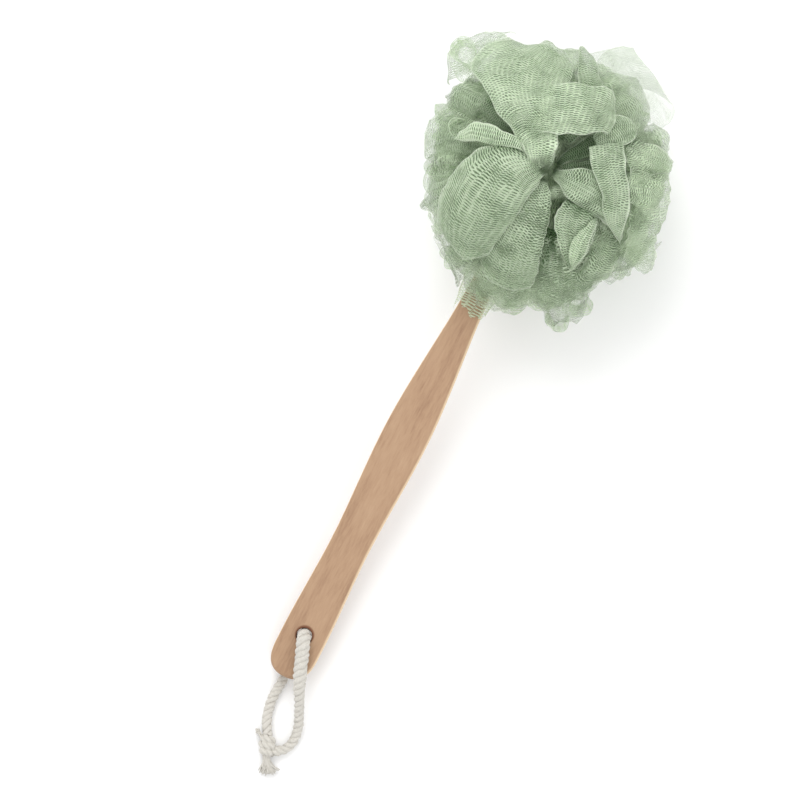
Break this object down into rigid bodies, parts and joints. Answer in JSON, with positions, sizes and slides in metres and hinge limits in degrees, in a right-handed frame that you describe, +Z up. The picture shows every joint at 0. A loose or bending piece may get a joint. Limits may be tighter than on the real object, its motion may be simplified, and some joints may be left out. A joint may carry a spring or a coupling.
{
  "type": "bath pouf on a handle",
  "caption": "Long-handled bath pouf: gathered mesh netting lashed to the end of a flat waisted wooden handle, with a twisted rope hanging loop through the tail.",
  "frame": {"origin": "middle of the footprint of the handle and the pouf, on the surface that the object lies on; the hanging rope is left out of the measure", "axes": "+Z up, +Y along the handle from the tail to the pouf, +X to the right seen from above with the pouf at the far end"},
  "size_m": [0.1506, 0.4573, 0.1256],
  "materials": {
    "wood": "sanded, unlacquered",
    "netting": "fine open nylon netting",
    "binding_cord": "matt nylon cord",
    "rope": "soft twisted cotton"
  },
  "bodies": {
    "handle_and_pouf": {"handle": "wood", "netting_front": "netting", "netting_front_middle": "netting", "netting_rear_middle": "netting", "netting_rear": "netting", "binding_cord": "binding_cord", "binding_knot": "binding_cord"},
    "hanging_loop": {"hanging_rope": "rope", "rope_knot": "rope", "rope_end_upper": "rope", "rope_end_lower": "rope"}
  },
  "joints": [
    {"name": "loop_swing", "type": "hinge", "parent": "handle_and_pouf", "child": "hanging_loop", "pos_m": [0, -0.17228, 0.0149], "axis": [0, -0.1444, 0.9895], "range_deg": [-90, 90]}
  ]
}
